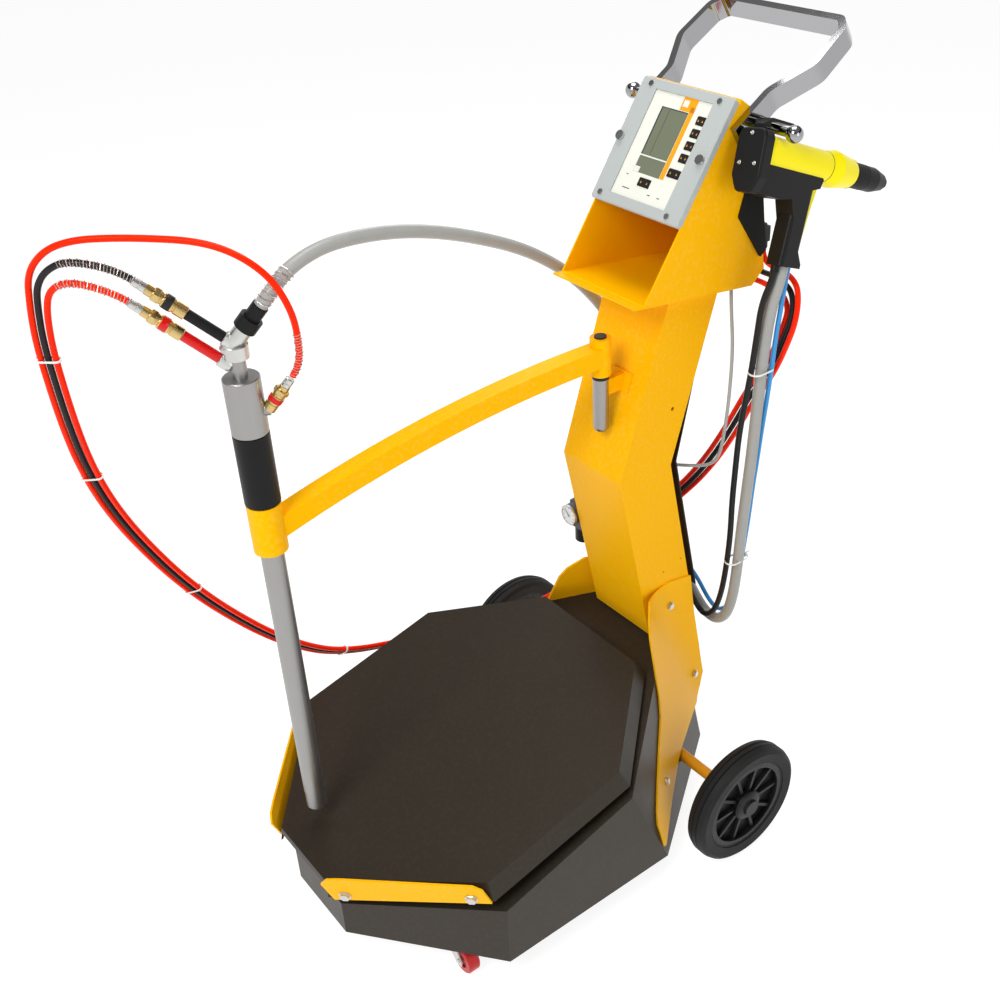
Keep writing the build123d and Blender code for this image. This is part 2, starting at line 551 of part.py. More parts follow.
trigger -= extrude(Plane.XZ.offset(-8) * (Pos(130.5, -18.5, 0) * Circle(2.05)), amount=16)
save(place(trigger), "gun_trigger")
hook_face = make_face(Polyline([(3, 33), (11, 33), (12, 37), (25, 46.4), (60, 46.4), (66, 48), (66, 50),
                                (23, 50), (5, 40)], close=True))
save(place(gun_cap + extrude(Plane.XZ.offset(-7) * hook_face, amount=14)), "gun_cap")
holster = prism_x([(304, 996), (287, 943), (332, 876), (343, 883), (335, 930), (326, 996)], 84.8, 88.8)
save(holster, "holster_plate")


# ---- hoses and cables -------------------------------------------------------------------------
def gun_pt(x, z):
    return tuple(gun.location.position + g_dir * x + g_up.normalized() * z)


def ahead(p, d, dist):
    return tuple(Vector(*p) + d * dist)


PITCH = 8.8     # the three air hoses run side by side as a flat ribbon around this line
TRIO = [(-172, -564, 997), (-181, -566, 950), (-190, -563, 895), (-203, -557, 830), (-220, -547, 765),
        (-236, -531, 700), (-250, -508, 635), (-261, -479, 570), (-270, -446, 505), (-278, -408, 442),
        (-284, -368, 385), (-288, -325, 330), (-291, -278, 280), (-293, -225, 236), (-293, -169, 209),
        (-288, -112, 194), (-277, -55, 187), (-256, 3, 189), (-226, 50, 200), (-192, 90, 218),
        (-162, 129, 241), (-137, 168, 270), (-118, 206, 304), (-103, 244, 340), (-84, 280, 374),
        (-58, 312, 414), (-24, 330, 462), (8, 336, 513), (34, 338, 560), (58, 338, 607), (80, 337, 652),
        (104, 336, 690), (124, 335, 728), (138, 335, 766), (148, 336, 800)]
TWIST_FROM, TWIST_OVER = 20, 12     # the ribbon makes a quarter turn behind the column


def ribbon():
    """Directions along and across the ribbon at every point of the line."""
    v = [Vector(*p) for p in TRIO]
    across = Vector(-0.58, -0.81, 0.1)
    frames = []
    for i, p in enumerate(v):
        d = (v[min(i + 1, len(v) - 1)] - v[max(i - 1, 0)]).normalized()
        across = (across - d * across.dot(d)).normalized()
        turn = -math.pi / 2 * min(1.0, max(0.0, (i - TWIST_FROM) / TWIST_OVER))
        frames.append((p, d, across * math.cos(turn) + d.cross(across) * math.sin(turn)))
    return frames


RIBBON = ribbon()


def strand(place_in_row, first=0):
    return [tuple(p + w * (PITCH * place_in_row)) for p, _, w in RIBBON[first:]]


routes = {
    "air_hose_black": ([tuple(ends["black"]), ahead(ends["black"], inlet_dir, 20), (-131, -532, 1052),
                        (-152, -551, 1040), (-166, -561, 1020)] + strand(0)
                       + [(147, 339, 826), (134, 344, 842), (96, 350, 846), (72, 352.4, 843),
                          (59.5, 352.4, 853), (58, 352.4, 879.4)], AIR_R),
    "air_hose_red_top": ([tuple(ends["side"]), ahead(ends["side"], side_dir, 18), (17, -343, 962),
                          (19, -350, 992), (13, -361, 1022), (-2, -378, 1045), (-25, -397, 1059),
                          (-50, -419, 1066), (-77, -448, 1069), (-103, -486, 1073), (-129, -521, 1073),
                          (-153, -547, 1062), (-171, -566, 1036)] + strand(1)
                         + [(156, 339, 834), (144, 344, 853), (112, 350, 859), (88, 352.4, 857),
                            (75.5, 352.4, 866), (74, 352.4, 879.4)], AIR_R),
    "air_hose_red_low": ([tuple(ends["red"]), ahead(ends["red"], inlet_dir, 16), (-128, -530, 1027),
                          (-147, -547, 1022), (-160, -557, 1004)] + strand(-1, 1)
                         + [(138, 339, 814), (124, 344, 828), (80, 350, 830), (56, 352.4, 828),
                            (43.5, 352.4, 840), (42, 352.4, 879.4)], AIR_R),
}
powder = [tuple(hose_start), ahead(hose_start, line, 20), (-6, -331, 1023), (-17, -281, 1031), (-30, -223, 1024),
          (-44, -159, 1009), (-58, -93, 986), (-72, -23, 955), (-87, 51, 917), (-99, 118, 872), (-106, 172, 825),
          (-108, 218, 770), (-102, 252, 710), (-88, 272, 650), (-68, 278, 590), (-46, 276, 530), (-26, 272, 470),
          (-10, 272, 412), (0, 278, 358), (9, 290, 310), (23, 300, 272), (45, 303, 249), (70, 303, 248),
          (91, 303, 270), (102, 303, 312), (108, 303, 374), (112, 302, 442), (117, 302, 505), (122, 302, 569),
          (126, 302, 632), (129, 302, 696), (132, 303, 764), (139, 303, 826), gun_pt(107.5, -150), gun_pt(107.5, -128.3)]
routes["powder_hose"] = (powder, HOSE_R)
routes["gun_cable"] = ([gun_pt(92.6, -128.3), gun_pt(92.6, -146), (137, 287, 836), (131, 288, 785), (125, 288, 727),
                        (117, 288, 676), (109, 288, 620), (105, 289, 560), (103, 288, 500), (102.5, 289, 440),
                        (99, 288, 380), (92, 288, 325), (80, 288, 282), (62, 288, 258), (44, 287, 264),
                        (33, 282, 288), (30, 274, 314), (29, 256, 324), (28, 238, 325)], CABLE_R)
routes["rinse_hose_blue"] = ([gun_pt(120.3, -128.3), gun_pt(120.3, -146), (147, 316, 836), (141, 316, 785),
                              (137, 316, 730), (132, 317, 680), (127, 316, 627), (121.5, 317, 574),
                              (117, 316, 522), (112.5, 317, 470), (108, 316, 418), (102, 317, 366),
                              (95, 316, 316), (81, 317, 274), (57, 318, 252), (32, 320, 262), (12, 319, 286),
                              (-2, 311, 311), (-13, 290, 325), (-12, 264, 328), (-10, 240, 326)], BLUE_R)
routes["earth_lead"] = ([(16, 219.5, 556), (26, 236, 552), (46, 258, 550), (72, 270, 558), (88, 272, 582),
                         (94, 272, 616), (99, 272, 660), (100, 274, 710), (94, 281, 762), (80, 289, 806),
                         (74, 293, 838)], 2.5)
for name, (pts, r) in routes.items():
    save(hose(pts, r, name), name)


def sleeve_on(pts, count, r_in, r_out):
    """Coil guard around the first runs of a hose, kept as a plain sleeve."""
    v = [Vector(*p) for p in pts[:count + 2]]
    radii = []
    for a, b, c in zip(v, v[1:], v[2:]):
        turn = math.radians((b - a).get_angle(c - b))
        radii.append(0.45 * min((b - a).length, (c - b).length) / math.tan(max(turn, 0.02) / 2))
    v[-1] = v[-2] + (v[-1] - v[-2]) * 0.5
    path = FilletPolyline(*v, radius=radii)
    start = Plane(v[0], z_dir=v[1] - v[0])
    return sweep(start * (Circle(r_out) - Circle(r_in)), path=path)


guards = [sleeve_on(routes[n][0], c, AIR_R + 0.15, AIR_R + 1.9)
          for n, c in (("air_hose_black", 2), ("air_hose_red_top", 2), ("air_hose_red_low", 2))]
save(group(couplings + guards), "quick_couplings")
guard_ends = gun_pt(92.6, -128.3), gun_pt(92.6, -137)
guard = rod(*guard_ends, CABLE_R + 1.2) - rod(*guard_ends, CABLE_R + 0.15)
save(group([place(grip), guard]), "gun_grip")

ties = []
for i in (1, 4, 8, 13, 20):
    (a, _, wa), (b, _, wb) = RIBBON[i], RIBBON[i + 1]
    ring = Box(2 * PITCH + 11.2, 11.2, 4.5) - Box(2 * PITCH + 8.8, 8.8, 5)
    ties.append(Plane((a + b) * 0.5, x_dir=wa + wb, z_dir=b - a).location * ring)
for z, x0, x1 in ((727, 119.5, 141.5), (390, 93.5, 119.0)):
    ring = Box(x1 - x0 + 2.4, 42.4, 4.5) - Box(x1 - x0, 40, 5)
    ties.append(Pos((x0 + x1) / 2, 301.5, z) * ring)
save(group(ties), "cable_ties")
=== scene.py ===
import json
import math
import bpy
from mathutils import Matrix, Vector


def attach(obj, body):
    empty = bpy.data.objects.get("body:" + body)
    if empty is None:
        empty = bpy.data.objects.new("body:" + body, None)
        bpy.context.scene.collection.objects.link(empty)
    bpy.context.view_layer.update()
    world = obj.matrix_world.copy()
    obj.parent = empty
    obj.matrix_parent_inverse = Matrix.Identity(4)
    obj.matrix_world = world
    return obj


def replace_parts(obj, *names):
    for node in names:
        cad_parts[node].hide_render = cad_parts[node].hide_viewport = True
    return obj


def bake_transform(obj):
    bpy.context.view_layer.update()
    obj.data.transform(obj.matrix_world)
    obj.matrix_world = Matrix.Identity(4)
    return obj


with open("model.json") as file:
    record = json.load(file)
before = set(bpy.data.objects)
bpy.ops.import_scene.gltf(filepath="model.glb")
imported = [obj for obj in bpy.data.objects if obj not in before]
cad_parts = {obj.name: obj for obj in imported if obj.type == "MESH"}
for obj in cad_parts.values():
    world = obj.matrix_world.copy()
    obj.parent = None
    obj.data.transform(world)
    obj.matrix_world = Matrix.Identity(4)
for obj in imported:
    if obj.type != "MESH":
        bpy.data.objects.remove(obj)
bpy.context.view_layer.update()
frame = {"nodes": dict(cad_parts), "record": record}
MM = 0.001


def mm(*p):
    """A point given in millimetres."""
    return Vector(p) * MM


# ---- materials -----------------------------------------------------------------------------------
def material(name, color, rough=0.4, metal=0.0, coat=0.0, mottle=0.06, mottle_scale=9.0, grain=0.1,
             grain_scale=900.0, uneven=0.05, edge_wear_and_highlight=0.0, edge_wear_and_highlight_color=(0.7, 0.7, 0.7), brushed=None,
             spec=0.22, tint=(1, 1, 1)):
    """A principled material with colour mottling, uneven gloss, fine bump and sharp edges lightened in
    patches, partly edge wear and partly a painted edge highlight.
    """
    m = bpy.data.materials.new(name)
    m.use_nodes = True
    t = m.node_tree
    b = t.nodes["Principled BSDF"]
    new, link = t.nodes.new, t.links.new
    b.inputs["Metallic"].default_value = metal
    b.inputs["Coat Weight"].default_value = coat
    b.inputs["Coat Roughness"].default_value = 0.12
    b.inputs["Specular IOR Level"].default_value = 0.5 if metal > 0.5 else spec
    b.inputs["Specular Tint"].default_value = (*tint, 1)
    co = new("ShaderNodeTexCoord")
    big = new("ShaderNodeTexNoise")
    big.inputs["Scale"].default_value = mottle_scale
    big.inputs["Detail"].default_value = 6
    link(co.outputs["Object"], big.inputs["Vector"])
    ramp = new("ShaderNodeMixRGB")
    ramp.inputs[1].default_value = (*[c * (1 - mottle) for c in color], 1)
    ramp.inputs[2].default_value = (*[min(1, c * (1 + mottle)) for c in color], 1)
    link(big.outputs["Fac"], ramp.inputs[0])
    out = ramp.outputs[0]
    # Sharp edges mix towards a lighter edge colour in noisy patches: partly wear, partly a painted highlight
    # along the edges.
    if edge_wear_and_highlight > 0:
        geo = new("ShaderNodeNewGeometry")
        sharp = new("ShaderNodeMapRange")
        sharp.inputs[1].default_value, sharp.inputs[2].default_value = 0.53, 0.62
        link(geo.outputs["Pointiness"], sharp.inputs[0])
        edge_patches = new("ShaderNodeTexNoise")
        edge_patches.inputs["Scale"].default_value = 160
        link(co.outputs["Object"], edge_patches.inputs["Vector"])
        pick = new("ShaderNodeMapRange")
        pick.inputs[1].default_value, pick.inputs[2].default_value = 0.5, 0.62
        link(edge_patches.outputs["Fac"], pick.inputs[0])
        both = new("ShaderNodeMath")
        both.operation = "MULTIPLY"
        link(sharp.outputs[0], both.inputs[0])
        link(pick.outputs[0], both.inputs[1])
        amount = new("ShaderNodeMath")
        amount.operation = "MULTIPLY"
        amount.inputs[1].default_value = edge_wear_and_highlight
        link(both.outputs[0], amount.inputs[0])
        worn_and_highlit = new("ShaderNodeMixRGB")
        worn_and_highlit.inputs[2].default_value = (*edge_wear_and_highlight_color, 1)
        link(amount.outputs[0], worn_and_highlit.inputs[0])
        link(out, worn_and_highlit.inputs[1])
        out = worn_and_highlit.outputs[0]
    link(out, b.inputs["Base Color"])
    gloss = new("ShaderNodeMapRange")
    gloss.inputs[3].default_value, gloss.inputs[4].default_value = rough - uneven, rough + uneven
    smudge = new("ShaderNodeTexNoise")
    smudge.inputs["Scale"].default_value = 26
    smudge.inputs["Detail"].default_value = 8
    link(co.outputs["Object"], smudge.inputs["Vector"])
    link(smudge.outputs["Fac"], gloss.inputs[0])
    link(gloss.outputs[0], b.inputs["Roughness"])
    fine = new("ShaderNodeTexNoise")
    fine.inputs["Scale"].default_value = grain_scale
    fine.inputs["Detail"].default_value = 3
    if brushed:
        stretch = new("ShaderNodeMapping")
        stretch.inputs["Scale"].default_value = brushed
        link(co.outputs["Object"], stretch.inputs["Vector"])
        link(stretch.outputs[0], fine.inputs["Vector"])
    else:
        link(co.outputs["Object"], fine.inputs["Vector"])
    bump = new("ShaderNodeBump")
    bump.inputs["Strength"].default_value = grain
    bump.inputs["Distance"].default_value = 0.0004
    link(fine.outputs["Fac"], bump.inputs["Height"])
    link(bump.outputs[0], b.inputs["Normal"])
    return m


# The edge colours of the orange and brown paints, the wheel plastic and the grey panel are lighter tones of
# their own colour, partly wear and partly a painted edge highlight; the axle's grey chips are wear.
M = {
    "orange_paint": material("orange_paint", (1.0, 0.49, 0.0004), 0.36, spec=0.09, tint=(1, 0.6, 0.1),
                             mottle=0.012, grain=0.02, grain_scale=500, edge_wear_and_highlight=0.12,
                             edge_wear_and_highlight_color=(0.98, 0.62, 0.12)),
    "brown_paint": material("brown_paint", (0.030, 0.0235, 0.0165), 0.38, spec=0.24, tint=(1, 0.93, 0.85),
                            mottle=0.05, mottle_scale=4, grain=0.02, grain_scale=500, edge_wear_and_highlight=0.1,
                            edge_wear_and_highlight_color=(0.08, 0.065, 0.055)),
    "black_rubber": material("black_rubber", (0.009, 0.009, 0.009), 0.62, spec=0.12, grain=0.25, mottle=0.2),
    "cast_motor": material("cast_motor", (0.09, 0.1, 0.11), 0.55, grain=0.5, grain_scale=260, mottle=0.2),
    "axle_paint": material("axle_paint", (0.75, 0.32, 0.01), 0.4, coat=0.1, grain=0.15, edge_wear_and_highlight=0.6,
                           edge_wear_and_highlight_color=(0.35, 0.33, 0.3)),
    "tyre_rubber": material("tyre_rubber", (0.014, 0.014, 0.014), 0.6, spec=0.2, mottle=0.3, mottle_scale=30,
                            grain=0.35, grain_scale=700, uneven=0.1),
    "wheel_plastic": material("wheel_plastic", (0.017, 0.017, 0.018), 0.42, mottle=0.15, grain=0.2,
                              grain_scale=1100, edge_wear_and_highlight=0.3, edge_wear_and_highlight_color=(0.06, 0.06, 0.06)),
    "zinc": material("zinc", (0.62, 0.62, 0.6), 0.3, metal=1.0, mottle=0.12, mottle_scale=60, grain=0.1,
                     uneven=0.1),
    "red_polyurethane": material("red_polyurethane", (0.5, 0.012, 0.012), 0.34, coat=0.15, mottle=0.12,
                                 grain=0.1),
    "grey_panel": material("grey_panel", (0.44, 0.47, 0.46), 0.42, mottle=0.04, grain=0.16, grain_scale=1300,
                           edge_wear_and_highlight=0.2, edge_wear_and_highlight_color=(0.7, 0.7, 0.7)),
    "cream_foil": material("cream_foil", (0.78, 0.78, 0.7), 0.36, mottle=0.03, grain=0.12, grain_scale=2200),
    "lcd_glass": material("lcd_glass", (0.17, 0.19, 0.13), 0.1, coat=0.6, mottle=0.05, grain=0.02,
                          uneven=0.03),
    "key_black": material("key_black", (0.016, 0.016, 0.017), 0.4, mottle=0.1, grain=0.15),
    "chrome_bar": material("chrome_bar", (0.38, 0.38, 0.39), 0.07, metal=1.0, mottle=0.02, grain=0.015,
                           uneven=0.03),
    "lance_aluminium": material("lance_aluminium", (0.36, 0.355, 0.345), 0.4, metal=1.0, mottle=0.05,
                                grain=0.16, brushed=(1, 1, 0.02), grain_scale=1500, uneven=0.07),
    "lance_plastic": material("lance_plastic", (0.009, 0.009, 0.009), 0.4, spec=0.16, mottle=0.15, grain=0.22,
                              grain_scale=1400),
    "coupling_brass": material("coupling_brass", (0.66, 0.48, 0.2), 0.24, metal=1.0, mottle=0.08, grain=0.03,
                               uneven=0.08),
    "gauge_metal": material("gauge_metal", (0.1, 0.1, 0.11), 0.45, metal=0.5, mottle=0.1, grain=0.3,
                            grain_scale=500),
    "gun_yellow": material("gun_yellow", (1.0, 0.84, 0.0), 0.32, spec=0.35, tint=(1, 0.9, 0.2), mottle=0.04,
                           grain=0.08, grain_scale=1500),
    "hose_black": material("hose_black", (0.012, 0.012, 0.013), 0.34, mottle=0.15, grain=0.1),
    "hose_red": material("hose_red", (0.97, 0.02, 0.001), 0.32, spec=0.4, tint=(1, 0.2, 0.1), mottle=0.06,
                         grain=0.04),
    "inlet_red": material("inlet_red", (0.62, 0.006, 0.004), 0.18, mottle=0.06, coat=0.3, grain=0.02),
    "hose_grey": material("hose_grey", (0.36, 0.36, 0.34), 0.34, mottle=0.06, mottle_scale=30, coat=0.2,
                          grain=0.06),
    "hose_blue": material("hose_blue", (0.04, 0.3, 0.68), 0.3, mottle=0.1, coat=0.2, grain=0.08),
    "tie_white": material("tie_white", (0.85, 0.85, 0.82), 0.4, mottle=0.04, grain=0.1),
    "coil_steel": material("coil_steel", (0.5, 0.45, 0.4), 0.3, metal=1.0, mottle=0.12, grain=0.1),
    "dial_white": material("dial_white", (0.85, 0.85, 0.83), 0.3, coat=0.4, mottle=0.02, grain=0.02),
    "print_orange": material("print_orange", (0.9, 0.36, 0.01), 0.36, mottle=0.04, grain=0.1),
    # Dark print; the same material also makes the painted shadow strips along the display's edges.
    "dark_print_and_painted_shadow": material("dark_print_and_painted_shadow", (0.05, 0.055, 0.06), 0.4, mottle=0.06, grain=0.1),
    "lcd_digit": material("lcd_digit", (0.05, 0.055, 0.045), 0.2, mottle=0.05, grain=0.02),
    "lcd_line": material("lcd_line", (0.75, 0.76, 0.7), 0.3, mottle=0.03, grain=0.02),
}


SLOT_OF = {s["node"]: s["material_slot"] for s in frame["record"]["subparts"]}
for node, obj in frame["nodes"].items():
    obj.data.materials.clear()
    obj.data.materials.append(M[SLOT_OF[node]])
    obj.data.polygons.foreach_set("use_smooth", [True] * len(obj.data.polygons))
    obj.data.set_sharp_from_angle(angle=math.radians(28))


# ---- mesh helpers --------------------------------------------------------------------------------
def add_mesh(name, verts, faces, mat, body, smooth=30):
    """New piece with its material, riding on a body if one is named."""
    mesh = bpy.data.meshes.new(name)
    mesh.from_pydata([tuple(v) for v in verts], [], faces)
    mesh.update()
    obj = bpy.data.objects.new(name, mesh)
    bpy.context.scene.collection.objects.link(obj)
    mesh.materials.append(M[mat])
    mesh.polygons.foreach_set("use_smooth", [True] * len(mesh.polygons))
    mesh.set_sharp_from_angle(angle=math.radians(smooth))
    if body:
        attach(obj, body)
    return obj


def frames_along(line):
    """Direction and a side vector carried along a polyline without twist."""
    out, side = [], None
    for i, p in enumerate(line):
        d = (line[min(i + 1, len(line) - 1)] - line[max(i - 1, 0)]).normalized()
        side = d.orthogonal().normalized() if side is None else (side - d * side.dot(d)).normalized()
        out.append((p, d, side, d.cross(side)))
    return out


def tube(name, line, radius, mat, body, sides):
    """Round tube along a line."""
    verts, faces = [], []
    rings = frames_along(line)
    for p, _, u, v in rings:
        verts += [p + u * (radius * math.cos(a)) + v * (radius * math.sin(a))
                  for a in (2 * math.pi * k / sides for k in range(sides))]
    for i in range(len(rings) - 1):
        for k in range(sides):
            a, b = i * sides + k, i * sides + (k + 1) % sides
            faces.append((a, b, b + sides, a + sides))
    faces += [tuple(range(sides))[::-1], tuple(range(len(verts) - sides, len(verts)))]
    return add_mesh(name, verts, faces, mat, body)


def turned(name, base, axis, profile, mat, body, sides=40, open_middle=False):
    """Body of revolution from (distance along, radius) in millimetres, a ring if its middle is open."""
    d = Vector(axis).normalized()
    u = d.orthogonal().normalized()
    v = d.cross(u)
    verts, faces = [], []
    for along, r in profile:
        verts += [base + d * (along * MM) + (u * math.cos(a) + v * math.sin(a)) * (max(r, 0.01) * MM)
                  for a in (2 * math.pi * k / sides for k in range(sides))]
    for i in range(len(profile) - 1):
        for k in range(sides):
            a, b = i * sides + k, i * sides + (k + 1) % sides
            faces.append((a, b, b + sides, a + sides))
    last = len(verts) - sides
    if open_middle:
        faces += [(last + k, last + (k + 1) % sides, (k + 1) % sides, k) for k in range(sides)]
    else:
        faces += [tuple(range(sides))[::-1], tuple(range(last, len(verts)))]
    return add_mesh(name, verts, faces, mat, body)


def slab(name, origin, u, v, outline, thick, mat, body):
    """Flat plate from an outline in (u, v) millimetres, standing thick millimetres out along u x v."""
    n = u.cross(v).normalized()
    k = len(outline)
    low = [origin + u * (a * MM) + v * (b * MM) for a, b in outline]
    verts = low + [p + n * (thick * MM) for p in low]
    faces = [tuple(range(k))[::-1], tuple(range(k, 2 * k))]
    faces += [(i, (i + 1) % k, (i + 1) % k + k, i + k) for i in range(k)]
    return add_mesh(name, verts, faces, mat, body)


def rect(x0, y0, x1, y1):
    """Outline of a rectangle for a slab."""
    return [(x0, y0), (x1, y0), (x1, y1), (x0, y1)]


# ---- camera --------------------------------------------------------------------------------------
CAM_AT = Vector((1.2129, -0.9219, 1.5598))
CAM_AZ, CAM_EL, CAM_ROLL = 0.9568, 0.5716, -0.0596
back = Vector((math.sin(CAM_AZ) * math.cos(CAM_EL), -math.cos(CAM_AZ) * math.cos(CAM_EL), math.sin(CAM_EL)))
level = Vector((math.cos(CAM_AZ), math.sin(CAM_AZ), 0))
upright = back.cross(level)
right = level * math.cos(CAM_ROLL) + upright * math.sin(CAM_ROLL)
up = upright * math.cos(CAM_ROLL) - level * math.sin(CAM_ROLL)
cam = bpy.data.objects.new("camera", bpy.data.cameras.new("camera"))
bpy.context.scene.collection.objects.link(cam)
cam.matrix_world = Matrix.Translation(CAM_AT) @ Matrix((right, up, back)).transposed().to_4x4()
cam.data.sensor_width = 36
cam.data.lens = 45.85
bpy.context.scene.camera = cam

# ---- hoses ---------------------------------------------------------------------------------------
# Centreline of the three tied air hoses in millimetres, from the lance to the rear connectors.
PITCH = 8.8
TRIO = [(-172, -564, 997), (-181, -566, 950), (-190, -563, 895), (-203, -557, 830), (-220, -547, 765),
        (-236, -531, 700), (-250, -508, 635), (-261, -479, 570), (-270, -446, 505), (-278, -408, 442),
        (-284, -368, 385), (-288, -325, 330), (-291, -278, 280), (-293, -225, 236), (-293, -169, 209),
        (-288, -112, 194), (-277, -55, 187), (-256, 3, 189), (-226, 50, 200), (-192, 90, 218),
        (-162, 129, 241), (-137, 168, 270), (-118, 206, 304), (-103, 244, 340), (-84, 280, 374),
        (-58, 312, 414), (-24, 330, 462), (8, 336, 513), (34, 338, 560), (58, 338, 607), (80, 337, 652),
        (104, 336, 690), (124, 335, 728), (138, 335, 766), (148, 336, 800)]
TWIST_FROM, TWIST_OVER = 20, 12


def ribbon():
    """Directions along and across the flat ribbon of three hoses, with its quarter turn behind the column."""
    v = [Vector(p) for p in TRIO]
    across, out = Vector((-0.58, -0.81, 0.1)), []
    for i, p in enumerate(v):
        d = (v[min(i + 1, len(v) - 1)] - v[max(i - 1, 0)]).normalized()
        across = (across - d * across.dot(d)).normalized()
        turn = -math.pi / 2 * min(1.0, max(0.0, (i - TWIST_FROM) / TWIST_OVER))
        out.append((p, d, across * math.cos(turn) + d.cross(across) * math.sin(turn)))
    return out


RIBBON = ribbon()


def strand(row, first=0):
    """Route of one hose of the ribbon, a number of pitches to the side of its middle."""
    return [p + w * (PITCH * row) for p, _, w in RIBBON[first:]]


PIVOT_AT = mm(14, 106, 0)
LANCE_OUT = Vector((0.576, 0.817, 0))
INLET = Vector((-0.445, -0.622, 0.645)).normalized()
SIDE = Vector((0.36, 0.53, 0.77)).normalized()
RED_ROOT, BLACK_ROOT = Vector((-38, -409, 920)), Vector((-32, -402, 946))
SIDE_ROOT = Vector((-31, -399, 858)) + LANCE_OUT * 26
INLET_LONG, SIDE_LONG = 126, 52
RED_END, BLACK_END = RED_ROOT + INLET * INLET_LONG, BLACK_ROOT + INLET * INLET_LONG
SIDE_END = SIDE_ROOT + SIDE * SIDE_LONG
EJECT_DIR = (LANCE_OUT * 24 + Vector((0, 0, 28))).normalized()
EJECT_NUT = 34.3
EJECT_END = Vector((-31, -399, 936)) + LANCE_OUT * 14 + Vector((0, 0, 26)) + EJECT_DIR * EJECT_NUT
GUN_AT = Vector((124, 262, 1041.5))
GUN_DIR = Vector((0, math.cos(math.radians(-22.5)), math.sin(math.radians(-22.5))))
GUN_UP = Vector((-0.165, 0.377, 0.911)).normalized()


def gun_pt(x, z):
    """Point of the gun's middle plane in millimetres, along its barrel and up its grip."""
    return GUN_AT + GUN_DIR * x + GUN_UP * z


# Control points of every hose in millimetres, starting at the lance or at the gun.
ROUTES = {
    "black": [BLACK_END, BLACK_END + INLET * 20, (-131, -532, 1052), (-152, -551, 1040), (-166, -561, 1020)]
    + strand(0) + [(147, 339, 826), (134, 344, 842), (96, 350, 846), (72, 352.4, 843), (59.5, 352.4, 853),
                   (58, 352.4, 879.4)],
    "red_top": [SIDE_END, SIDE_END + SIDE * 18, (17, -343, 962), (19, -350, 992), (13, -361, 1022),
                (-2, -378, 1045), (-25, -397, 1059), (-50, -419, 1066), (-77, -448, 1069), (-103, -486, 1073),
                (-129, -521, 1073), (-153, -547, 1062), (-171, -566, 1036)]
    + strand(1) + [(156, 339, 834), (144, 344, 853), (112, 350, 859), (88, 352.4, 857), (75.5, 352.4, 866),
                   (74, 352.4, 879.4)],
    "red_low": [RED_END, RED_END + INLET * 16, (-128, -530, 1027), (-147, -547, 1022), (-160, -557, 1004)]
    + strand(-1, 1) + [(138, 339, 814), (124, 344, 828), (80, 350, 830), (56, 352.4, 828), (43.5, 352.4, 840),
                       (42, 352.4, 879.4)],
    "powder": [EJECT_END, EJECT_END + EJECT_DIR * 20, (-6, -331, 1023), (-17, -281, 1031), (-30, -223, 1024),
               (-44, -159, 1009), (-58, -93, 986), (-72, -23, 955), (-87, 51, 917), (-99, 118, 872),
               (-106, 172, 825), (-108, 218, 770), (-102, 252, 710), (-88, 272, 650), (-68, 278, 590),
               (-46, 276, 530), (-26, 272, 470), (-10, 272, 412), (0, 278, 358), (9, 290, 310),
               (23, 300, 272), (45, 303, 249), (70, 303, 248), (91, 303, 270), (102, 303, 312),
               (108, 303, 374),
               (112, 302, 442), (117, 302, 505), (122, 302, 569), (126, 302, 632), (129, 302, 696),
               (132, 303, 764), (139, 303, 826), gun_pt(107.5, -150), gun_pt(107.5, -128.3)],
    "cable": [gun_pt(92.6, -128.3), gun_pt(92.6, -146), (137, 287, 836), (131, 288, 785), (125, 288, 727),
              (117, 288, 676), (109, 288, 620), (105, 289, 560), (103, 288, 500), (102.5, 289, 440),
              (99, 288, 380), (92, 288, 325), (80, 288, 282), (62, 288, 258), (44, 287, 264), (33, 282, 288),
              (30, 274, 314), (29, 256, 324), (28, 238, 325)],
    "blue": [gun_pt(120.3, -128.3), gun_pt(120.3, -146), (147, 316, 836), (141, 316, 785), (137, 316, 730),
             (132, 317, 680), (127, 316, 627), (121.5, 317, 574), (117, 316, 522), (112.5, 317, 470),
             (108, 316, 418), (102, 317, 366), (95, 316, 316), (81, 317, 274), (57, 318, 252), (32, 320, 262),
             (12, 319, 286), (-2, 311, 311), (-13, 290, 325), (-12, 264, 328), (-10, 240, 326)],
    "earth": [(16, 219.5, 556), (26, 236, 552), (46, 258, 550), (72, 270, 558), (88, 272, 582),
              (94, 272, 616), (99, 272, 660), (100, 274, 710), (94, 281, 762), (80, 289, 806),
              (74, 293, 838)],
}


def smooth_line(points):
    """The points of a smooth NURBS line that follows the route, in metres."""
    cu = bpy.data.curves.new("route", "CURVE")
    cu.dimensions = "3D"
    sp = cu.splines.new("NURBS")
    sp.points.add(len(points) - 1)
    for q, p in zip(sp.points, points):
        q.co = (*(Vector(p) * MM), 1)
    sp.order_u = 3
    sp.use_endpoint_u = True
    cu.resolution_u = 10
    ob = bpy.data.objects.new("route", cu)
    mesh = bpy.data.meshes.new_from_object(ob)
    line = [v.co.copy() for v in mesh.vertices]
    bpy.data.objects.remove(ob)
    bpy.data.meshes.remove(mesh)
    return line


def even(line, step):
    """The same line with points a fixed step apart."""
    out, need = [line[0].copy()], step
    for a, b in zip(line, line[1:]):
        length, done = (b - a).length, 0.0
        while length - done >= need:
            done += need
            out.append(a.lerp(b, done / length))
            need = step
        need -= length - done
    out.append(line[-1].copy())
    return out


def cut(line, near):
    """Splits a line at its point closest to near."""
    i = min(range(len(line)), key=lambda k: (line[k] - near).length)
    return line[:i + 1], line[i:]


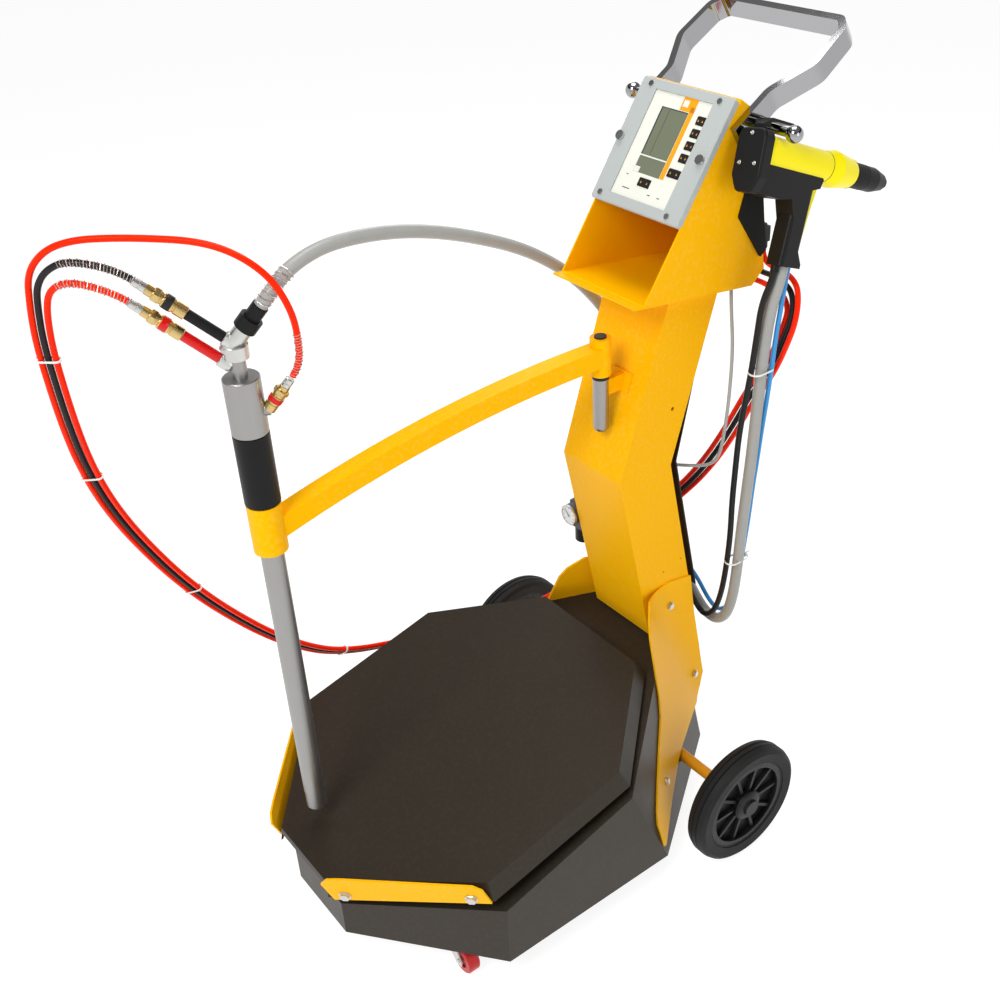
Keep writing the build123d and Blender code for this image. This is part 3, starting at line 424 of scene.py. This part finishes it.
LINES = {k: smooth_line(v) for k, v in ROUTES.items()}
AIR_R, POWDER_R, CABLE_R, BLUE_R, EARTH_R = 4.0, 8.5, 4.5, 3.5, 2.5
TIE_AT_LANCE = mm(-220, -547, 765)
TIE_AT_TOP = mm(-58, -93, 986)
TIE_REAR = mm(-88, 272, 650)
BEND_DONE = mm(-293, -169, 209)


HOSE_STEP, HOSE_SIDES, PATH_EVERY = 0.004, 14, 2


def hose(name, line, r, mat, bodies):
    """A hose along a line, riding on one body, or left unattached with its transform applied when it runs
    between two.
    """
    line = even(line, HOSE_STEP)
    obj = tube(name, line, r * MM, mat, bodies[0] if len(bodies) == 1 else None, HOSE_SIDES)
    if len(bodies) == 2:
        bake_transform(obj)
    return obj


for key, node, mat in (("black", "air_hose_black", "hose_black"), ("red_top", "air_hose_red_top", "hose_red"),
                       ("red_low", "air_hose_red_low", "hose_red")):
    first, rest = cut(LINES[key], TIE_AT_LANCE)
    hose(f"{node}_lance_end", first, AIR_R, mat, ("lance", "swing_arm"))
    run = hose(f"{node}_run", rest, AIR_R, mat, ("swing_arm", "chassis"))
    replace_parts(run, node)

top, rest = cut(LINES["powder"], TIE_AT_TOP)
middle, low = cut(rest, TIE_REAR)
hose("powder_hose_lance_end", top, POWDER_R, "hose_grey", ("lance", "swing_arm"))
hose("powder_hose_middle", middle, POWDER_R, "hose_grey", ("swing_arm", "chassis"))
powder_low = hose("powder_hose_gun_end", low, POWDER_R, "hose_grey",
                  ("gun", "chassis"))
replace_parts(powder_low, "powder_hose")
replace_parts(hose("gun_cable_line", LINES["cable"], CABLE_R, "hose_black",
                 ("gun", "chassis")), "gun_cable")
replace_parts(hose("rinse_hose_line", LINES["blue"], BLUE_R, "hose_blue",
                 ("gun", "chassis")), "rinse_hose_blue")
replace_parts(hose("earth_lead_line", LINES["earth"], EARTH_R, "hose_grey",
                 ("chassis",)), "earth_lead")

# ---- couplings, coil guards and ejector ----------------------------------------------------------
# Profiles of a quick coupling: millimetres from its root and radius.
COUPLING = [(0, 7.5), (0.6, 8.3), (12, 8.3), (12.6, 7.4), (14, 7.4), (14.6, 8.6), (17, 8.6), (17.5, 8.1),
            (19, 8.6), (20.5, 8.1), (22, 8.6), (23.5, 8.1), (25, 8.6), (26.5, 8.6), (27, 7.2), (29, 7.2),
            (29.5, 8.2), (37.5, 8.2), (38, 6.6), (46, 6.6), (47, 5.0)]
FERRULE = [(45, 4.8), (46, 5.9), (52, 5.9), (52.6, 5.4), (53.4, 5.4), (54, 5.9), (60, 5.6), (61, 4.6)]
STRETCH, NUT_FROM = 1.1, 31
RING = [(16.4, 8.75), (17, 9.1), (24.4, 9.1), (25, 8.75)]


def coil(name, line, r_mid, wire, pitch, length, body, mat="coil_steel"):
    """Helix of round wire around the first stretch of a hose."""
    rings = frames_along(even(line, 0.0008))
    path, run = [], 0.0
    for i, (p, d, u, v) in enumerate(rings):
        run += (p - rings[i - 1][0]).length if i else 0
        if run > length:
            break
        a = 2 * math.pi * run / pitch
        path.append(p + (u * math.cos(a) + v * math.sin(a)) * (r_mid * MM))
    return tube(name, path, wire * MM, mat, body, 6)


coupling_parts = []


def coupling(name, root, axis, ring_mat, line, length, scale=1.0):
    """Brass quick coupling with its ring, nut, ferrule and the wire coil round the start of its hose."""
    base = Vector(root) * MM
    profile = [(a * STRETCH * scale, r) for a, r in COUPLING]
    body = turned(f"{name}_body", base, axis, profile, "coupling_brass", "lance", 36)
    ring = turned(f"{name}_ring", base, axis, [(a * STRETCH * scale, r) for a, r in RING], ring_mat,
                  "lance", 36)
    turned(f"{name}_ferrule", base, axis, [(a * STRETCH * scale, r) for a, r in FERRULE], "zinc", "lance", 36)
    nut_at = base + Vector(axis) * (NUT_FROM * STRETCH * scale * MM)
    nut = turned(f"{name}_nut", nut_at, axis, [(0, 8.9), (0.8, 9.5), (6, 9.5), (6.8, 8.9)], "coupling_brass",
                 "lance", 6)
    spring = coil(f"{name}_coil", line, AIR_R + 0.75, 0.6, 0.0037, length, "lance")
    coupling_parts.extend([body, ring, nut, spring])


INLET_TUBE = 58.5
coupling("coupling_red", RED_ROOT + INLET * INLET_TUBE, INLET, "inlet_red", LINES["red_low"], 0.085)
coupling("coupling_black", BLACK_ROOT + INLET * INLET_TUBE, INLET, "key_black", LINES["black"], 0.085)
coupling("coupling_side", SIDE_ROOT, SIDE, "inlet_red", LINES["red_top"], 0.062, 0.72)
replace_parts(coupling_parts[0], "quick_couplings")
for side, root in (("red", RED_ROOT), ("black", BLACK_ROOT)):
    turned(f"inlet_boss_{side}", root * MM, INLET,
           [(-8, 6), (-5, 8.6), (0, 9.4), (9, 9.4), (10, 8.6), (10.4, 7)], "zinc", "lance", 36)
coil("powder_hose_coil", LINES["powder"], POWDER_R + 0.9, 0.9, 0.0062, 0.05, "lance", "zinc")


def paint_faces(node, mat, inside):
    """Gives the faces of a CAD node whose centre satisfies the test another material."""
    mesh = frame["nodes"][node].data
    mesh.materials.append(M[mat])
    for poly in mesh.polygons:
        if inside(poly.center):
            poly.material_index = len(mesh.materials) - 1


def near_axis(root, axis, r):
    """Test for points closer than r millimetres to an axis."""
    root, axis = Vector(root) * MM, Vector(axis).normalized()
    return lambda p: ((p - root) - axis * (p - root).dot(axis)).length < r * MM


paint_faces("ejector_inlets", "inlet_red", near_axis(RED_ROOT, INLET, 7.5))
EJECT_ROOT = EJECT_END - EJECT_DIR * EJECT_NUT
paint_faces("ejector", "lance_plastic", lambda p: (p - EJECT_ROOT * MM).dot(EJECT_DIR) > 0.0002)
PIN_R = 0.0115
paint_faces("pivot_bracket", "orange_paint", lambda p: (p.xy - PIVOT_AT.xy).length > PIN_R)

# ---- control panel -------------------------------------------------------------------------------
SLOPE = math.radians(55.48)
PANEL_AT = mm(0, 173.9, 958.6)
ACROSS, UPHILL = Vector((1, 0, 0)), Vector((0, math.cos(SLOPE), math.sin(SLOPE)))
OUTWARD = ACROSS.cross(UPHILL)


def on_panel(depth):
    """Origin of a sheet parallel to the sloping panel face, depth millimetres in front of it."""
    return PANEL_AT + OUTWARD * (depth * MM)


FOIL = on_panel(-1.78)
slab("panel_stripe", FOIL, ACROSS, UPHILL, rect(19.4, 51, 27, 150), 0.25, "print_orange", "chassis")
slab("panel_stripe_top", FOIL, ACROSS, UPHILL, rect(1, 142.6, 27, 163), 0.25, "print_orange", "chassis")
slab("panel_mark", FOIL + OUTWARD * 0.0003, ACROSS, UPHILL, rect(3.5, 148, 13, 157), 0.1, "lcd_line",
     "chassis")
GLASS = on_panel(-2.18)
slab("display_split", GLASS, ACROSS, UPHILL, rect(-30.4, 73.4, 18.4, 75.2), 0.5, "lcd_line", "chassis")
# Painted shadow: dark strips along the left and top edges of the display glass, where the frame shades it.
slab("display_shade", GLASS, ACROSS, UPHILL, rect(-30.6, 75.2, -28.8, 142), 0.3, "dark_print_and_painted_shadow", "chassis")
slab("display_shade_top", GLASS, ACROSS, UPHILL, rect(-28.8, 140.6, 18.4, 142), 0.3, "dark_print_and_painted_shadow", "chassis")
slab("display_scale", GLASS, ACROSS, UPHILL, rect(-15.4, 78, -14.8, 139), 0.08, "lcd_digit", "chassis")
slab("display_step", GLASS, ACROSS, UPHILL, rect(-30.4, 51, -21, 58.5), 0.5, "lcd_line", "chassis")
for i, (kx, ks, half) in enumerate([(44.5, 136, 3.6), (44.5, 119, 3.6), (44.5, 102, 3.6), (44.5, 85, 3.6),
                                    (40, 63, 5.6), (-2, 40, 5.6)]):
    top = on_panel(-0.98)
    for side in (-1, 1):
        sign_x = kx + side * half
        tri = [(sign_x - 1.1, ks - 1.4), (sign_x + 1.1, ks - 1.4), (sign_x, ks + 1.6)]
        slab(f"key_sign_{i + 1}_{'l' if side < 0 else 'r'}", top, ACROSS, UPHILL, tri, 0.1, "print_orange",
             f"key_{i + 1}")
for i, (x0, w, s) in enumerate([(-37, 14, 26), (12, 5, 26), (30, 5, 26), (-39, 3, 44)]):
    slab(f"foil_dash_{i + 1}", FOIL, ACROSS, UPHILL, rect(x0, s, x0 + w, s + 1.2), 0.08, "dark_print_and_painted_shadow",
         "chassis")

# ---- pressure gauge ------------------------------------------------------------------------------
GAUGE = mm(-81, 119.9, 458)
turned("gauge_rim", GAUGE, (0, -1, 0), [(-1.5, 17.2), (1.2, 17.2), (1.8, 16.4), (1.8, 15.2), (0.4, 15)],
       "zinc", "chassis", 48)
turned("gauge_dial", GAUGE, (0, -1, 0), [(0.1, 15), (0.5, 15)], "dial_white", "chassis", 48)
for k in range(9):
    a = math.radians(225 - 33.75 * k)
    d = Vector((math.cos(a), 0, math.sin(a)))
    n = Vector((-math.sin(a), 0, math.cos(a)))
    slab(f"gauge_tick_{k + 1}", GAUGE + Vector((0, -0.00055, 0)), n, d, rect(-0.35, 11, 0.35, 13.8), 0.15,
         "dark_print_and_painted_shadow", "chassis")
slab("gauge_needle", GAUGE + Vector((0, -0.0009, 0)), Vector((0.7, 0, 0.7)), Vector((-0.7, 0, 0.7)),
     [(-0.9, -3), (0.9, -3), (0.25, 12), (-0.25, 12)], 0.3, "dark_print_and_painted_shadow", "chassis")

# ---- gun -----------------------------------------------------------------------------------------
GUN_SIDE = GUN_DIR.cross(GUN_UP)
for i, (w, z) in enumerate([(0, 27), (-12, -10), (12, -10)]):
    at = (gun_pt(-4.3, z) - GUN_SIDE * w) * MM
    turned(f"gun_cap_screw_{i + 1}", at, -GUN_DIR, [(-0.6, 2.6), (0.3, 2.6), (0.7, 2.0), (0.2, 1.0)], "zinc",
           "gun", 20)
for i, (x, r) in enumerate([(148, 21.25), (206.5, 20.1)]):
    turned(f"gun_seam_{i + 1}", gun_pt(x, 9) * MM, GUN_DIR, [(0, r - 1), (0.1, r), (0.9, r), (1, r - 1)],
           "lance_plastic", "gun", 48)
for i in range(5):
    turned(f"nozzle_groove_{i + 1}", gun_pt(214 + 6 * i, 9) * MM, GUN_DIR,
           [(0, 16), (0.2, 17.35), (3.2, 17.35), (3.4, 16)], "lance_plastic", "gun", 48)

# ---- wheels --------------------------------------------------------------------------------------
for name, s in (("right", 1), ("left", -1)):
    hub = Vector((s * 0.2797, 0.1525, 0.1))
    out = Vector((s, 0, 0))
    for j, (r, at) in enumerate(((74.5, 14.1), (24, 15.2), (17, 15.4))):
        turned(f"rim_ring_{name}_{j + 1}", hub, out, [(at - 1.5, r - 1.6), (at, r - 1.2), (at + 0.9, r - 0.4),
                                                     (at + 0.9, r + 0.6), (at, r + 1.2), (at - 1.5, r + 1.4)],
               "wheel_plastic", f"wheel_{name}", 72, open_middle=True)
    turned(f"hub_dome_{name}", hub, out,
           [(13, 23.5), (16.6, 23.2), (19, 20), (20, 16), (20, 13.4), (13, 13.4)],
           "wheel_plastic", f"wheel_{name}", 48, open_middle=True)

# ---- cable ties ----------------------------------------------------------------------------------
# Clearance round the hoses, thickness and half width of a band, and the outline of its head, in millimetres.
BAND_OUT, BAND_THICK, BAND_HALF = 1.0, 0.9, 1.3
HEAD = [(-2.6, -3.2), (2.6, -3.2), (3.2, -2.4), (3.2, 2.4), (2.6, 3.2), (-2.6, 3.2), (-3.2, 2.4),
        (-3.2, -2.4)]


def cable_tie(name, at, along, across, half, r, joined):
    """Flat band drawn round a row of hoses, with its locking head and cut tail, riding on one body, or left
    unattached with its transform applied when its two bodies differ.
    """
    along, across = along.normalized(), across.normalized()
    third = along.cross(across)
    loop = [(s * half, s * 90 + k * 12 - 90) for s in (1, -1) for k in range(16)]
    verts, faces, n = [], [], len(loop)
    for shift, out in ((-BAND_HALF, 0), (BAND_HALF, 0), (BAND_HALF, BAND_THICK), (-BAND_HALF, BAND_THICK)):
        for x, deg in loop:
            c, q = math.cos(math.radians(deg)), math.sin(math.radians(deg))
            reach = r + BAND_OUT + out
            verts.append((at + across * (x + reach * q) + third * (reach * -c) + along * shift) * MM)
    for side in range(4):
        for k in range(n):
            i, j, nxt = side * n, (side + 1) % 4 * n, (k + 1) % n
            faces.append((i + k, j + k, j + nxt, i + nxt))
    band = add_mesh(f"{name}_band", verts, faces, "tie_white", None)
    head_at = at + across * (half + r + BAND_OUT + 0.2)
    head = slab(f"{name}_head", head_at * MM, along, third, HEAD, 3.6, "tie_white", None)
    tail_at = (head_at + third * 2 - along * 1.2) * MM
    tail = slab(f"{name}_tail", tail_at, across, along, rect(0, 0, 9, 2.4), 1.0, "tie_white", None)
    for piece in (band, head, tail):
        if joined[0] == joined[1]:
            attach(piece, joined[0])
        else:
            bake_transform(piece)
    return band


ties = []
ON_LANCE = ("lance", "swing_arm", LINES["black"][0], TIE_AT_LANCE)
ON_ARM = ("swing_arm", "chassis", TIE_AT_LANCE, BEND_DONE)
for j, (i, joined) in enumerate(((1, ON_LANCE), (4, ON_ARM), (8, ON_ARM), (13, ON_ARM), (20, ON_ARM))):
    (a, _, wa), (b, _, wb) = RIBBON[i], RIBBON[i + 1]
    ties.append(cable_tie(f"hose_tie_{j + 1}", (a + b) * 0.5, b - a, wa + wb, PITCH, AIR_R, joined))
for j, at in enumerate((Vector((130.5, 301.5, 727)), Vector((106, 301.5, 390)))):
    ties.append(cable_tie(f"rear_tie_{j + 1}", at, Vector((0, 0, 1)), Vector((0, 1, 0)), 10, 9.2,
                          ("chassis", "chassis")))
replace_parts(ties[0], "cable_ties")

# ---- floor and light -----------------------------------------------------------------------------
floor = bpy.data.meshes.new("floor")
floor.from_pydata([(-40, -40, 0), (40, -40, 0), (40, 40, 0), (-40, 40, 0)], [], [(0, 1, 2, 3)])
floor_obj = bpy.data.objects.new("floor", floor)
bpy.context.scene.collection.objects.link(floor_obj)
M["floor"] = material("floor", (0.3, 0.3, 0.3), 0.8, spec=0.0, mottle=0.01, grain=0.02)
lamp = M["floor"].node_tree.nodes["Principled BSDF"]
lamp.inputs["Emission Color"].default_value = (1, 1, 1, 1)
lamp.inputs["Emission Strength"].default_value = 0.88
floor.materials.append(M["floor"])


def softbox(name, at, aim, size, power):
    """Rectangular lamp facing its aim."""
    light = bpy.data.lights.new(name, "AREA")
    light.shape, light.size, light.size_y = "RECTANGLE", size[0], size[1]
    light.energy = power
    obj = bpy.data.objects.new(name, light)
    bpy.context.scene.collection.objects.link(obj)
    obj.location = at
    obj.rotation_euler = (Vector(aim) - Vector(at)).to_track_quat("-Z", "Y").to_euler()
    return obj


MIDDLE = (0, 0, 0.55)
softbox("key", (0.9, -2.5, 3.2), MIDDLE, (1.4, 1.6), 72)
softbox("fill", (2.9, 0.2, 1.6), MIDDLE, (1.2, 2.0), 11)
softbox("top", (-0.4, 0.5, 3.2), MIDDLE, (1.6, 1.6), 38)
softbox("rim", (-2.0, 1.6, 2.0), MIDDLE, (1.2, 1.8), 12)
world = bpy.data.worlds.new("studio")
world.use_nodes = True
sky = world.node_tree.nodes["Background"]
direction = world.node_tree.nodes.new("ShaderNodeTexCoord")
height = world.node_tree.nodes.new("ShaderNodeSeparateXYZ")
bands = world.node_tree.nodes.new("ShaderNodeValToRGB")
bands.color_ramp.elements[0].position, bands.color_ramp.elements[0].color = 0.0, (1, 1, 1, 1)
bands.color_ramp.elements[1].position, bands.color_ramp.elements[1].color = 1.0, (0.25, 0.25, 0.25, 1)
for at, grey in ((0.27, 1.0), (0.38, 0.05), (0.6, 0.04), (0.72, 0.3)):
    stop = bands.color_ramp.elements.new(at)
    stop.color = (grey, grey, grey, 1)
link_sky = world.node_tree.links.new
link_sky(direction.outputs["Generated"], height.inputs[0])
link_sky(height.outputs["Z"], bands.inputs[0])
link_sky(bands.outputs[0], sky.inputs[0])
sky.inputs[1].default_value = 0.95
bpy.context.scene.world = world
bpy.context.scene.view_settings.view_transform = "Standard"
